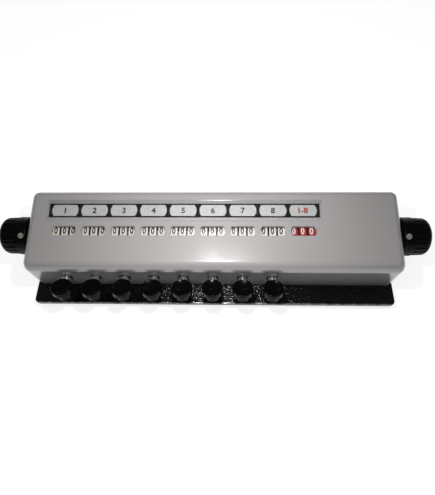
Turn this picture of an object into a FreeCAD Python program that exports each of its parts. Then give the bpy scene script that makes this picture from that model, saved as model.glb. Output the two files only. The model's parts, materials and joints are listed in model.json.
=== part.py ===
"""Differential cell counter: eight keys, nine three-wheel counters and two reset knobs.

X runs left to right, Y runs from the user to the back, and Z is up. The origin lies on the
table, halfway between the two ends and halfway from the keys' front edge to the cover's back.
All lengths are in millimetres, angles in degrees.
"""
import FreeCAD, Part
import math
import os
import Sketcher

SIZES = [
    # The case
    ("ledge_depth", 17.0, "base plate in front of the cover"),
    ("left_end_room", 3.775, "inside of the left wall to the foot of the frame's end plate"),
    ("right_end_room", 47.425, "inside of the right wall to the foot of the frame's end plate"),
    ("top_slope", 8.76, "angle by which the top face rises towards the back"),
    ("wall", 2.5, "wall of the cover"),
    ("front_edge_radius", 8.0, "rounding between top and front"),
    ("side_edge_radius", 5.5, "rounding all round each side wall"),
    ("back_edge_extra", 0.5, "rounding between top and back, beyond that of the side walls"),
    ("base_thickness", 3.2, "base plate"),
    ("base_corner_radius", 4.0, "base plate, seen from above"),
    ("base_edge_radius", 0.8, "upper edge of the base plate"),
    ("foot_height", 6.0, "rubber foot"),
    ("foot_diameter", 16.0, "rubber foot"),
    ("foot_from_side", 28.0, "foot centre from the left or right edge of the base plate"),
    ("foot_from_edge", 14.0, "foot centre from the front or back edge of the base plate"),
    ("foot_edge", 1.0, "chamfer round the bottom of a foot"),
    ("boss_diameter", 7.0, "screw boss inside the cover"),
    ("boss_inset", 9.0, "screw boss centre from the outside of the cover"),
    # The windows and the label
    ("key_count", 8.0, "keys, each with its own counter"),
    ("window_side_cover", 0.425, "part of the outer wheels hidden at each end of a window"),
    ("window_depth", 7.8, "counter window, front to back"),
    ("window_end_radius", 6.0, "bulging end of a window"),
    ("window_lead", 3.7, "middle of the windows in front of the reset shaft"),
    ("label_margin", 1.1, "label strip beyond its first and its last field's pitch"),
    ("label_depth", 12.0, "label strip, front to back"),
    ("label_thickness", 0.3, "label strip"),
    ("label_behind_windows", 17.0, "middle of the strip behind the windows' middle, along the top"),
    ("guard_side_margin", 2.0, "clear guard beyond the strip, at each end"),
    ("guard_margin", 3.1, "clear guard beyond the strip, front and back"),
    ("guard_thickness", 1.5, "clear guard over the strip"),
    ("guard_bevel", 0.7, "bevel round the clear guard"),
    # The counting wheels and the shaft they run on
    ("wheel_diameter", 27.0, "number wheel"),
    ("wheel_pitch", 6.95, "from one number wheel to the next"),
    ("wheel_face_gap", 1.2, "between one numbered rim and the next"),
    ("wheel_rim", 1.8, "thickness of the numbered rim"),
    ("wheel_web", 2.0, "thickness of the disc between hub and rim"),
    ("wheel_hub_diameter", 13.0, "hub"),
    ("wheel_end_gap", 0.2, "between one hub and the next"),
    ("wheel_clearance", 0.9, "between a number wheel and the inside of the top"),
    ("ratchet_room", 3.15, "room for a ratchet between two counters"),
    ("ratchet_inset", 1.0, "ratchet's teeth inside the rim of its number wheel"),
    ("ratchet_width", 1.8, "ratchet disc"),
    ("ratchet_tooth", 1.6, "depth of a ratchet tooth"),
    ("ratchet_gap", 4.8, "length of the gap behind a ratchet tooth"),
    ("ratchet_count", 10.0, "teeth, one for each number"),
    ("shaft_diameter", 8.0, "reset shaft"),
    ("running_clearance", 0.05, "between a shaft and what turns on it, on the radius"),
    ("keyway_width", 1.6, "groove along the reset shaft"),
    ("keyway_depth", 0.9, "groove along the reset shaft"),
    ("bush_diameter", 12.0, "shaft bush in the end plate"),
    ("bush_flange_diameter", 17.0, "shaft bush"),
    ("bush_flange", 2.8, "flange of the shaft bush"),
    ("bush_overhang", 1.0, "shaft bush beyond the outside of its end plate"),
    ("shaft_hole_clearance", 0.6, "round the reset shaft in the cover, on the radius"),
    # The reset knobs
    ("knob_gap", 1.2, "between the cover and a reset knob"),
    ("knob_length", 23.3, "reset knob"),
    ("skirt_diameter", 31.7, "plain ring of the reset knob beside the cover"),
    ("skirt_length", 9.5, "plain ring of the reset knob beside the cover"),
    ("skirt_edge", 1.3, "rounding of the ring beside the cover"),
    ("knob_diameter", 30.8, "fluted part of the reset knob, next to the ring"),
    ("knob_end_diameter", 30.0, "fluted part of the reset knob, at its end"),
    ("knob_end_radius", 5.0, "rounding of the knob's end"),
    ("flute_radius", 1.6, "groove in the reset knob"),
    ("flute_depth", 0.9, "groove in the reset knob"),
    ("flute_count", 20.0, "grooves round the reset knob"),
    ("knob_bore_depth", 18.0, "shaft hole in the reset knob"),
    ("set_screw_diameter", 4.6, "screw that holds the knob on the shaft"),
    ("set_screw_from_face", 3.4, "screw centre from the knob's inner face"),
    ("set_screw_angle", 27.0, "screw turned from straight up towards the user"),
    ("set_screw_slot", 0.8, "slot in the screw's head"),
    ("fixed_clearance", 0.05, "round what is screwed or pushed home, on the radius"),
    # The keys
    ("stem_diameter", 6.2, "round front end of a key lever"),
    ("stem_height", 16.6, "middle of the stem above the base plate"),
    ("key_swing", 4.5, "angle that a key goes down"),
    ("button_diameter", 16.4, "round knob on a key"),
    ("button_lean", 16.8, "angle by which the key's knob leans back from level"),
    ("button_thickness", 5.2, "key's knob from its rim to its underside"),
    ("button_dish", 1.8, "depth of the hollow for the fingertip"),
    ("button_rim", 0.8, "flat ring round the hollow"),
    ("button_edge_radius", 0.6, "rounding of the key's knob"),
    ("button_wall_gap", 3.3, "back edge of the key's knob from the cover"),
    ("button_above_stem", 1.6, "back edge of the key's knob above its stem"),
    ("socket_diameter", 10.4, "neck under the key's knob"),
    ("socket_under_stem", 1.5, "plastic under the stem in the neck"),
    ("stem_past_button", 2.8, "end of the stem in front of the middle of the key's knob"),
    ("slot_clearance", 1.6, "between a stem and its slot in the cover"),
    ("key_rod_diameter", 5.0, "rod that the keys swing on"),
    ("key_rod_behind_shaft", 23.0, "rod behind the reset shaft"),
    ("key_rod_from_back", 9.5, "rod in front of the outside of the back wall"),
    ("key_rod_height", 9.0, "rod above the base plate"),
    ("eye_diameter", 10.0, "eye of a key lever"),
    ("lever_thickness", 2.4, "flat part of a key lever"),
    ("lever_run", 3.4, "height of the flat part under the wheels"),
    ("lever_wheel_gap", 1.0, "between a key lever and the number wheels above it"),
    ("lever_floor_gap", 4.6, "between a key lever and the base plate"),
    ("lever_comb_gap", 1.8, "between the slotted guide and the flat part of a lever"),
    ("lever_leg", 3.5, "upright part of the lever, front to back"),
    ("leg_wheel_gap", 4.5, "between the upright part of a lever and the number wheels"),
    ("pawl_pin_diameter", 2.4, "pin from the lever across to the ratchet"),
    ("pawl_thickness", 1.4, "finger beside the ratchet"),
    ("pawl_gap", 0.7, "between the finger and the ratchet"),
    ("pawl_below_shaft", 3.0, "tip of the finger below the shaft's middle"),
    ("pawl_rise", 2.5, "tip of the finger above its pin"),
    ("spring_wire", 0.9, "key spring"),
    ("spring_length", 5.0, "key spring along its rod"),
    ("spring_gap", 0.4, "key spring from the rod and from the lever"),
    # The frame inside
    ("end_plate_thickness", 2.0, "plates that hold the shaft and the rod"),
    ("end_plate_front", 12.0, "plate's front edge behind the front wall"),
    ("end_plate_back_gap", 1.0, "plate's back edge to the inside of the back wall"),
    ("end_plate_top_gap", 2.0, "plate's top edge below the inside of the top"),
    ("end_plate_corner", 2.5, "corner cut off the plate, at the top of its back edge"),
    ("flange_width", 9.0, "foot of an end plate"),
    ("flange_boss_gap", 6.0, "foot of an end plate, from the middle of each cover screw"),
    ("rod_overhang", 1.5, "key rod beyond each end plate"),
    ("comb_from_front", 4.0, "slotted guide behind the front wall"),
    ("comb_thickness", 1.2, "slotted guide"),
    ("comb_above_slots", 4.0, "top edge of the slotted guide above its slots"),
    ("comb_clearance", 0.3, "between a stem and its guide slot"),
    ("comb_end_gap", 1.0, "between the guide and the plane of each end plate"),
    ("tab_width", 11.0, "foot of the slotted guide"),
    ("tab_depth", 16.0, "foot of the slotted guide, front to back"),
    ("bar_diameter", 3.5, "bar that works the total counter"),
    ("bar_behind_head", 2.0, "middle of the bar behind the front edge of a lever's flat part"),
    ("bar_leg_gap", 2.25, "between the bar and the upright part of a lever"),
    ("bar_gap", 0.45, "between the bar and a stem that is pressed right down"),
    ("bar_arm_gap", 1.0, "between the bar's arm and the end plate"),
    ("screw_diameter", 3.0, "base screw"),
    ("screw_length", 8.0, "base screw under its head"),
    ("screw_head_diameter", 5.6, "base screw"),
    ("screw_head_height", 2.0, "base screw"),
    ("screw_hole_clearance", 0.2, "round a base screw in the base plate, on the radius"),
    ("screw_recess", 1.0, "slot in a base screw's head"),
    ("overrun", 1.0, "how far a cut goes past the face it opens"),
]
# Shares of the sizes that they follow
flange_screw_shares = (1 / 8, 7 / 8)
tab_screw_share = 3 / 4
screw_slot_share = 4 / 5
# Two lengths that differ by less than this count as one
closeness = 1e-4

document = FreeCAD.newDocument("cell_counter")
sheet = document.addObject("Spreadsheet::Sheet", "Sizes")
for row, (alias, number, meaning) in enumerate(SIZES, start=1):
    sheet.set("A%d" % row, alias)
    sheet.set("B%d" % row, str(number))
    sheet.set("C%d" % row, meaning)
    sheet.setAlias("B%d" % row, alias)
document.recompute()


class Measure:
    """A number worked out from the sheet, with the formula that works it out there."""

    def __init__(self, value, formula):
        self.value = value
        self.formula = formula

    def joined(self, sign, other, value):
        return Measure(value, "(%s %s %s)" % (self.formula, sign, formula_of(other)))

    def __add__(self, other):
        return self.joined("+", other, self.value + value_of(other))

    def __sub__(self, other):
        return self.joined("-", other, self.value - value_of(other))

    def __mul__(self, other):
        return self.joined("*", other, self.value * value_of(other))

    def __truediv__(self, other):
        return self.joined("/", other, self.value / value_of(other))

    def __neg__(self):
        return Measure(-self.value, "(0 - %s)" % self.formula)


def value_of(thing):
    return thing.value if isinstance(thing, Measure) else float(thing)


def formula_of(thing):
    return thing.formula if isinstance(thing, Measure) else repr(float(thing))


def size(alias):
    return Measure(float(getattr(sheet, alias)), "Sizes.%s" % alias)


def count(alias):
    return int(round(size(alias).value))


def sine(angle):
    return Measure(math.sin(math.radians(angle.value)), "sin(%s)" % angle.formula)


def cosine(angle):
    return Measure(math.cos(math.radians(angle.value)), "cos(%s)" % angle.formula)


def tangent(angle):
    return Measure(math.tan(math.radians(angle.value)), "tan(%s)" % angle.formula)


def bind(thing, prop, measure):
    thing.setExpression(prop, formula_of(measure))


def place(thing, x=0.0, y=0.0, z=0.0, turn=None):
    """Put a finished sub-part where it belongs, turned about X by an angle if one is given."""
    if turn is not None:
        thing.Placement.Rotation = FreeCAD.Rotation(FreeCAD.Vector(1, 0, 0), turn.value)
        bind(thing, ".Placement.Rotation.Angle", turn)
    bind(thing, ".Placement.Base.x", x)
    bind(thing, ".Placement.Base.y", y)
    bind(thing, ".Placement.Base.z", z)
    return thing


# Bodies, sketches and features

def new_body(label, separate_solids=False):
    body = document.addObject("PartDesign::Body", label)
    body.Label = label
    body.AllowCompound = separate_solids
    return body


def origin_feature(body, role):
    for feature in body.Origin.OriginFeatures:
        if feature.Role == role:
            return feature


def new_sketch(body, plane, name, offset=0.0):
    """A sketch on one of the body's own planes, moved along the plane's normal by offset."""
    sketch = body.newObject("Sketcher::SketchObject", body.Label + "_" + name)
    sketch.AttachmentSupport = [(origin_feature(body, plane), "")]
    sketch.MapMode = "FlatFace"
    bind(sketch, ".AttachmentOffset.Base.z", offset)
    return sketch


def lean_sketch(sketch, across, up, lean):
    """Move a sketch within its own plane, then turn it clockwise by an angle."""
    turn = FreeCAD.Rotation(FreeCAD.Vector(0, 0, -1), lean.value)
    sketch.AttachmentOffset = FreeCAD.Placement(FreeCAD.Vector(), turn)
    bind(sketch, ".AttachmentOffset.Base.x", across)
    bind(sketch, ".AttachmentOffset.Base.y", up)
    bind(sketch, ".AttachmentOffset.Rotation.Angle", lean)


def fix_point(sketch, geometry, end, x, y):
    """Hold one point of a sketch at coordinates that follow the sheet."""
    for kind, coordinate in (("DistanceX", x), ("DistanceY", y)):
        fix_coordinate(sketch, kind, geometry, end, coordinate)


def fix_coordinate(sketch, kind, geometry, end, coordinate):
    number = sketch.addConstraint(Sketcher.Constraint(kind, geometry, end, value_of(coordinate)))
    bind(sketch, "Constraints[%d]" % number, coordinate)


def fix_radius(sketch, geometry, radius):
    number = sketch.addConstraint(Sketcher.Constraint("Radius", geometry, value_of(radius)))
    bind(sketch, "Constraints[%d]" % number, radius)


def vector(x, y):
    return FreeCAD.Vector(value_of(x), value_of(y), 0)


def draw_polygon(sketch, points):
    """Closed outline of straight lines through the points."""
    first = sketch.GeometryCount
    last = first + len(points) - 1
    for start, end in zip(points, points[1:] + points[:1]):
        sketch.addGeometry(Part.LineSegment(vector(*start), vector(*end)), False)
    for line in range(first, last + 1):
        following = line + 1 if line < last else first
        sketch.addConstraint(Sketcher.Constraint("Coincident", line, 2, following, 1))
    for line, (x, y) in zip(range(first, last + 1), points):
        fix_point(sketch, line, 1, x, y)


def draw_rectangle(sketch, x_low, x_high, y_low, y_high):
    draw_polygon(sketch, [(x_low, y_low), (x_high, y_low), (x_high, y_high), (x_low, y_high)])


def draw_circle(sketch, x, y, diameter):
    radius = diameter / 2
    circle = Part.Circle(vector(x, y), FreeCAD.Vector(0, 0, 1), value_of(radius))
    number = sketch.addGeometry(circle, False)
    fix_point(sketch, number, 3, x, y)
    fix_radius(sketch, number, radius)


def arc(x, y, radius, start, end):
    circle = Part.Circle(vector(x, y), FreeCAD.Vector(0, 0, 1), value_of(radius))
    return Part.ArcOfCircle(circle, math.radians(start), math.radians(end))


def draw_upright_slot(sketch, x, y_low, y_high, radius):
    """Slot with round ends, centred on x, from y_low to y_high between the ends' centres."""
    left, right = x - radius, x + radius
    top = sketch.addGeometry(arc(x, y_high, radius, 0, 180), False)
    down = sketch.addGeometry(Part.LineSegment(vector(left, y_high), vector(left, y_low)), False)
    bottom = sketch.addGeometry(arc(x, y_low, radius, 180, 360), False)
    up = sketch.addGeometry(Part.LineSegment(vector(right, y_low), vector(right, y_high)), False)
    for first, second, end in ((top, down, 1), (down, bottom, 1), (bottom, up, 1), (up, top, 1)):
        sketch.addConstraint(Sketcher.Constraint("Tangent", first, 2, second, end))
    sketch.addConstraint(Sketcher.Constraint("Equal", top, bottom))
    fix_point(sketch, top, 3, x, y_high)
    fix_point(sketch, bottom, 3, x, y_low)
    fix_radius(sketch, top, radius)


def draw_barrel(sketch, x, y, width, depth, end_radius):
    """Window outline: straight front and back, and two ends that bulge outwards."""
    half = value_of(depth) / 2
    lean = math.degrees(math.asin(half / value_of(end_radius)))
    reach = value_of(end_radius) * math.cos(math.radians(lean))
    right, left = x + width / 2 - end_radius, x - width / 2 + end_radius
    corner = [right.value + reach, left.value - reach]
    low, high = y.value - half, y.value + half
    front = sketch.addGeometry(Part.LineSegment(vector(corner[1], low), vector(corner[0], low)), False)
    east = sketch.addGeometry(arc(right, y, end_radius, -lean, lean), False)
    back = sketch.addGeometry(Part.LineSegment(vector(corner[0], high), vector(corner[1], high)), False)
    west = sketch.addGeometry(arc(left, y, end_radius, 180 - lean, 180 + lean), False)
    for first, second in ((front, east), (east, back), (back, west), (west, front)):
        sketch.addConstraint(Sketcher.Constraint("Coincident", first, 2, second, 1))
    for line, level in ((front, y - depth / 2), (back, y + depth / 2)):
        sketch.addConstraint(Sketcher.Constraint("Horizontal", line))
        fix_coordinate(sketch, "DistanceY", line, 1, level)
    for end, middle in ((east, right), (west, left)):
        fix_point(sketch, end, 3, middle, y)
        fix_radius(sketch, end, end_radius)


def draw_dished_disc(sketch, radius, hollow_radius, dish, thickness, neck_radius, neck_end):
    """Half the section of a dished disc on a neck, beside the sketch's upright axis."""
    ball = (hollow_radius * hollow_radius + dish * dish) / (dish * 2)
    lean = math.degrees(math.asin(hollow_radius.value / ball.value))
    hollow = sketch.addGeometry(arc(0, ball - dish, ball, 270, 270 + lean), False)
    corners = [(hollow_radius, 0), (radius, 0), (radius, -thickness), (neck_radius, -thickness),
               (neck_radius, -neck_end), (0, -neck_end), (0, -dish)]
    for start, end in zip(corners, corners[1:]):
        line = sketch.addGeometry(Part.LineSegment(vector(*start), vector(*end)), False)
        sketch.addConstraint(Sketcher.Constraint("Coincident", line - 1, 2, line, 1))
        if end is not corners[-1]:
            fix_point(sketch, line, 2, *end)
    sketch.addConstraint(Sketcher.Constraint("Coincident", line, 2, hollow, 1))
    sketch.addConstraint(Sketcher.Constraint("Vertical", line))
    fix_coordinate(sketch, "DistanceY", hollow, 2, 0)
    fix_point(sketch, hollow, 3, 0, ball - dish)
    fix_radius(sketch, hollow, ball)


def finish_feature(body, feature):
    body.Tip = feature
    document.recompute()
    if "Invalid" in feature.State:
        raise RuntimeError("%s has failed" % feature.Label)
    return feature


def pad(body, sketch, length, backwards=False, middle=False):
    feature = body.newObject("PartDesign::Pad", sketch.Name + "_pad")
    feature.Profile = sketch
    bind(feature, "Length", length)
    feature.Reversed = backwards
    feature.SideType = "Symmetric" if middle else "One side"
    sketch.Visibility = False
    return finish_feature(body, feature)


def pocket(body, sketch, length=None, backwards=False, middle=False):
    """Cut a sketch out of the body, through everything if no length is given."""
    before = body.Shape.Volume
    feature = body.newObject("PartDesign::Pocket", sketch.Name + "_pocket")
    feature.Profile = sketch
    feature.Reversed = backwards
    feature.SideType = "Symmetric" if middle else "One side"
    if length is None:
        feature.Type = "ThroughAll"
    else:
        bind(feature, "Length", length)
    sketch.Visibility = False
    finish_feature(body, feature)
    if not body.Shape.Volume < before:
        raise RuntimeError("%s cuts nothing" % feature.Label)
    return feature


def revolve(body, sketch, axis=None):
    """Turn a sketch round one of the body's own axes, or round its own upright axis."""
    feature = body.newObject("PartDesign::Revolution", sketch.Name + "_turned")
    feature.Profile = sketch
    if axis is None:
        feature.ReferenceAxis = (sketch, ["V_Axis"])
    else:
        feature.ReferenceAxis = (origin_feature(body, axis), [""])
    feature.Angle = 360
    sketch.Visibility = False
    return finish_feature(body, feature)


def pattern_along_x(body, features, length, copies):
    feature = body.newObject("PartDesign::LinearPattern", features[0].Name + "_row")
    feature.Originals = features
    feature.Direction = (origin_feature(body, "X_Axis"), [""])
    bind(feature, "Length", length)
    feature.Occurrences = copies
    return finish_feature(body, feature)


def pattern_round_x(body, features, copies):
    feature = body.newObject("PartDesign::PolarPattern", features[0].Name + "_ring")
    feature.Originals = features
    feature.Axis = (origin_feature(body, "X_Axis"), [""])
    feature.Angle = 360
    feature.Occurrences = copies
    return finish_feature(body, feature)


def edges_where(body, test):
    """Names of the edges whose middle point and box pass the test."""
    names = []
    for number, edge in enumerate(body.Tip.Shape.Edges, start=1):
        middle = edge.valueAt((edge.FirstParameter + edge.LastParameter) / 2)
        if test(middle, edge.BoundBox):
            names.append("Edge%d" % number)
    return names


def dress(body, kind, name, edges, prop, amount):
    base = body.Tip
    feature = body.newObject("PartDesign::" + kind, body.Label + "_" + name)
    feature.Base = (base, edges)
    bind(feature, prop, amount)
    return finish_feature(body, feature)


def fillet(body, name, edges, radius):
    return dress(body, "Fillet", name, edges, "Radius", radius)


def chamfer(body, name, edges, amount):
    return dress(body, "Chamfer", name, edges, "Size", amount)


def near(a, b):
    return abs(value_of(a) - value_of(b)) < closeness


# Places that more than one sub-part uses. Inside the case, a depth is measured back from the
# front wall and a height up from the base plate; front_y and deck_z put them in the frame.

slope = size("top_slope")
wall = size("wall")
deck_z = size("foot_height") + size("base_thickness")
key_count = count("key_count")
counter_names = [str(number) for number in range(1, key_count + 1)] + ["total"]
wheel_names = ("hundreds", "tens", "units")
half_stack = size("wheel_pitch") * len(wheel_names) / 2
pitch = half_stack * 2 + size("ratchet_room")
shaft_radius = size("shaft_diameter") / 2
wheel_radius = size("wheel_diameter") / 2
ratchet_radius = wheel_radius - size("ratchet_inset")
rod_height = size("key_rod_height")
stem_radius = size("stem_diameter") / 2
half_lever = size("lever_thickness") / 2


# The guide, the bar, the levers, the wheels and the key rod follow each other from front to
# back, which sets the depth
head_depth = size("comb_from_front") + size("comb_thickness") + size("lever_comb_gap")
bar_depth = head_depth + size("bar_behind_head")
leg_depth = bar_depth + size("bar_diameter") / 2 + size("bar_leg_gap")
leg_back = leg_depth + size("lever_leg")
shaft_depth = leg_back + size("leg_wheel_gap") + wheel_radius
windows_depth = shaft_depth - size("window_lead")
rod_depth = shaft_depth + size("key_rod_behind_shaft")
case_depth = rod_depth + size("key_rod_from_back")
# A key's knob leans back, with its back edge just over the stem, and its front edge is the
# foremost point of the whole counter
button_radius = size("button_diameter") / 2
button_depth = -size("button_wall_gap") - button_radius * cosine(size("button_lean"))
button_height = (size("stem_height") + stem_radius + size("button_above_stem")
                 + button_radius * sine(size("button_lean")))
button_front = (button_depth - button_radius * cosine(size("button_lean"))
                - size("button_thickness") * sine(size("button_lean")))
stem_front = button_depth - size("stem_past_button")
front_y = -(button_front + case_depth) / 2
# The levers pass under the wheels and the top lies over them, which sets the heights
run_bottom = size("lever_floor_gap")
run_top = run_bottom + size("lever_run")
shaft_height = run_top + size("lever_wheel_gap") + wheel_radius
front_height = (shaft_height + (wheel_radius + size("wheel_clearance") + wall) / cosine(slope)
                - shaft_depth * tangent(slope))
# The counters stand between the frame's end plates, which sets the width
end_plate_room = (size("bush_flange") + size("wheel_end_gap") / 2 + size("end_plate_thickness")
                  + size("flange_width"))
left_of_counters = wall + size("left_end_room") + end_plate_room + half_stack
right_of_counters = pitch - half_stack + end_plate_room + size("right_end_room") + wall
half_width = (left_of_counters + pitch * key_count + right_of_counters) / 2
first_counter_x = left_of_counters - half_width
last_counter_x = first_counter_x + pitch * key_count
counters_middle_x = (first_counter_x + last_counter_x) / 2
half_label = pitch * (key_count + 1) / 2 + size("label_margin")
stack_left_x = first_counter_x - half_stack
stack_right_x = last_counter_x - half_stack + pitch
left_plate_x = stack_left_x - size("bush_flange") - size("wheel_end_gap") / 2
right_plate_x = stack_right_x + size("bush_flange") + size("wheel_end_gap") / 2
ratchet_from_units = pitch / 2 - size("wheel_pitch")
knob_face_x = half_width + size("knob_gap")


def top_height(depth):
    return front_height + depth * tangent(slope)


def roof_height(depth):
    return top_height(depth) - wall / cosine(slope)


def drop_of_key(depth):
    """How far a point of a key lever goes down when the key is pressed home."""
    return (rod_depth - depth) * sine(size("key_swing"))


bar_height = (size("stem_height") - stem_radius - drop_of_key(bar_depth)
              - size("bar_gap") - size("bar_diameter") / 2)
pawl_tip = (shaft_depth - ratchet_radius - size("pawl_gap"),
            shaft_height - size("pawl_below_shaft"))
flange_front = size("boss_inset") + size("flange_boss_gap")
flange_back = case_depth - size("boss_inset") - size("flange_boss_gap")
screw_places = {
    "cover": [((half_width - size("boss_inset")) * side, depth)
              for side in (-1, 1)
              for depth in (size("boss_inset"), case_depth - size("boss_inset"))],
    "left_end_plate": [(left_plate_x - size("end_plate_thickness") - size("flange_width") / 2,
                        flange_front + (flange_back - flange_front) * share)
                       for share in flange_screw_shares],
    "right_end_plate": [(right_plate_x + size("end_plate_thickness") + size("flange_width") / 2,
                         flange_front + (flange_back - flange_front) * share)
                        for share in flange_screw_shares],
    "key_comb": [(first_counter_x + pitch / 2 + pitch * keys_to_the_left,
                  size("comb_from_front") + size("tab_depth") * tab_screw_share)
                 for keys_to_the_left in (0, key_count // 2 - 1, key_count - 2)],
}


def draw_screw_holes(sketch, owner, diameter):
    for x, depth in screw_places[owner]:
        draw_circle(sketch, x, depth, diameter)


# The case

def make_base_plate():
    body = new_body("base_plate")
    outline = new_sketch(body, "XY_Plane", "outline")
    draw_rectangle(outline, -half_width, half_width, -size("ledge_depth"), case_depth)
    pad(body, outline, size("base_thickness"))
    upright = edges_where(body, lambda middle, box: not near(box.ZLength, 0))
    fillet(body, "corners", upright, size("base_corner_radius"))
    top = edges_where(body, lambda middle, box: near(box.ZMin, size("base_thickness")))
    fillet(body, "edge", top, size("base_edge_radius"))
    holes = new_sketch(body, "XY_Plane", "screw_holes")
    for owner in screw_places:
        draw_screw_holes(holes, owner, size("screw_diameter") + size("screw_hole_clearance") * 2)
    pocket(body, holes, middle=True)
    return place(body, y=front_y, z=size("foot_height"))


def make_rubber_feet():
    body = new_body("rubber_feet", separate_solids=True)
    discs = new_sketch(body, "XY_Plane", "discs")
    reach_x = half_width - size("foot_from_side")
    reach_y = (case_depth + size("ledge_depth")) / 2 - size("foot_from_edge")
    for x in (-reach_x, reach_x):
        for y in (-reach_y, reach_y):
            draw_circle(discs, x, y, size("foot_diameter"))
    pad(body, discs, size("foot_height"))
    lower = edges_where(body, lambda middle, box: near(box.ZMax, 0))
    chamfer(body, "edge", lower, size("foot_edge"))
    return place(body, y=front_y + (case_depth - size("ledge_depth")) / 2)


def make_cover():
    """Shell with a sloping top: windows on top, a slot for each key, a hole in each side."""
    body = new_body("cover")
    depth = case_depth
    profile = new_sketch(body, "YZ_Plane", "profile")
    back_height = top_height(depth)
    draw_polygon(profile, [(0, 0), (depth, 0), (depth, back_height), (0, front_height)])
    pad(body, profile, half_width * 2, middle=True)
    front_top = edges_where(body, lambda middle, box: near(middle.y, 0) and near(
        middle.z, front_height))
    fillet(body, "front_edge", front_top, size("front_edge_radius"))
    back_top = edges_where(body, lambda middle, box: near(middle.y, depth) and near(
        middle.z, back_height))
    fillet(body, "back_edge", back_top, size("side_edge_radius") + size("back_edge_extra"))
    sides = edges_where(body, lambda middle, box: near(box.XLength, 0) and not near(box.ZMax, 0))
    fillet(body, "side_edges", sides, size("side_edge_radius"))
    bottom = ["Face%d" % number for number, face in enumerate(body.Tip.Shape.Faces, start=1)
              if near(face.BoundBox.ZMax, 0)]
    solid = body.Tip
    shell = body.newObject("PartDesign::Thickness", "cover_shell")
    shell.Base = (solid, bottom)
    shell.Reversed = True
    shell.Mode = "Skin"
    shell.Join = "Arc"
    bind(shell, "Value", wall)
    finish_feature(body, shell)
    add_cover_bosses(body)
    add_cover_openings(body)
    return place(body, y=front_y, z=deck_z)


def add_cover_bosses(body):
    """A screw boss in each corner, from the base plate up into the top."""
    inset = size("boss_inset")
    holes = new_sketch(body, "XY_Plane", "boss_holes")
    for name, depth in (("front", inset), ("back", case_depth - inset)):
        posts = new_sketch(body, "XY_Plane", name + "_bosses")
        for x in (inset - half_width, half_width - inset):
            draw_circle(posts, x, depth, size("boss_diameter"))
            draw_circle(holes, x, depth, size("screw_diameter") + size("fixed_clearance") * 2)
        pad(body, posts, roof_height(depth) + wall / 2)
    pocket(body, holes, size("screw_length"), backwards=True)


def add_cover_openings(body):
    window = new_sketch(body, "XY_Plane", "window")
    window_width = (half_stack - size("window_side_cover")) * 2
    draw_barrel(window, first_counter_x, windows_depth, window_width,
                size("window_depth"), size("window_end_radius"))
    first_window = pocket(body, window, backwards=True)
    pattern_along_x(body, [first_window], pitch * key_count, key_count + 1)
    slot = new_sketch(body, "XZ_Plane", "key_slot")
    draw_upright_slot(slot, first_counter_x, size("stem_height") - drop_of_key(wall / 2),
                      size("stem_height"), stem_radius + size("slot_clearance"))
    first_slot = pocket(body, slot, wall + size("overrun"))
    pattern_along_x(body, [first_slot], pitch * (key_count - 1), key_count)
    side = new_sketch(body, "YZ_Plane", "shaft_holes")
    hole = size("shaft_diameter") + size("shaft_hole_clearance") * 2
    draw_circle(side, shaft_depth, shaft_height, hole)
    pocket(body, side, middle=True)


def make_label_strip():
    body = new_body("label_strip")
    outline = new_sketch(body, "XY_Plane", "outline")
    half_depth = size("label_depth") / 2
    draw_rectangle(outline, -half_label, half_label, -half_depth, half_depth)
    pad(body, outline, size("label_thickness"))
    return place_on_top(body)


def make_label_guard():
    """Clear bar over the label strip, hollowed so that it rests on the cover round the strip."""
    body = new_body("label_guard")
    reach = half_label + size("guard_side_margin")
    half_depth = size("label_depth") / 2 + size("guard_margin")
    outline = new_sketch(body, "XY_Plane", "outline")
    draw_rectangle(outline, -reach, reach, -half_depth, half_depth)
    pad(body, outline, size("guard_thickness"))
    top = edges_where(body, lambda middle, box: near(box.ZMin, size("guard_thickness")))
    chamfer(body, "bevel", top, size("guard_bevel"))
    room = new_sketch(body, "XY_Plane", "room_for_strip")
    room_reach = half_label + size("fixed_clearance")
    room_depth = size("label_depth") / 2 + size("fixed_clearance")
    draw_rectangle(room, -room_reach, room_reach, -room_depth, room_depth)
    pocket(body, room, size("label_thickness"), backwards=True)
    return place_on_top(body)


def place_on_top(body):
    """Lay a sub-part on the sloping top, at the label's place behind the front wall."""
    depth = windows_depth + size("label_behind_windows") * cosine(slope)
    return place(body, x=counters_middle_x, y=front_y + depth, z=deck_z + top_height(depth),
                 turn=slope)


# The frame inside

def make_end_plate(label, x, side):
    """Upright plate with a foot on its outer side, a hole for the bush and one for the rod."""
    body = new_body(label)
    thickness = size("end_plate_thickness")
    front = size("end_plate_front")
    back = case_depth - wall - size("end_plate_back_gap")
    gap, corner = size("end_plate_top_gap"), size("end_plate_corner")
    outline = new_sketch(body, "YZ_Plane", "outline")
    draw_polygon(outline, [(front, 0), (back, 0), (back, roof_height(back) - gap - corner),
                           (back - corner, roof_height(back - corner) - gap),
                           (front, roof_height(front) - gap)])
    pad(body, outline, thickness, backwards=side < 0)
    foot = new_sketch(body, "XY_Plane", "foot")
    near_x, far_x = thickness * side / 2, (thickness + size("flange_width")) * side
    draw_rectangle(foot, near_x, far_x, flange_front, flange_back)
    pad(body, foot, thickness)
    holes = new_sketch(body, "YZ_Plane", "holes")
    clearance = size("fixed_clearance") * 2
    draw_circle(holes, shaft_depth, shaft_height, size("bush_diameter") + clearance)
    draw_circle(holes, rod_depth, rod_height, size("key_rod_diameter") + clearance)
    pocket(body, holes, middle=True)
    screw_holes = new_sketch(body, "XY_Plane", "screw_holes")
    for screw_x, depth in screw_places[label]:
        draw_circle(screw_holes, screw_x - x, depth, size("screw_diameter") + clearance)
    pocket(body, screw_holes, middle=True)
    return place(body, x=x, y=front_y, z=deck_z)


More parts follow.
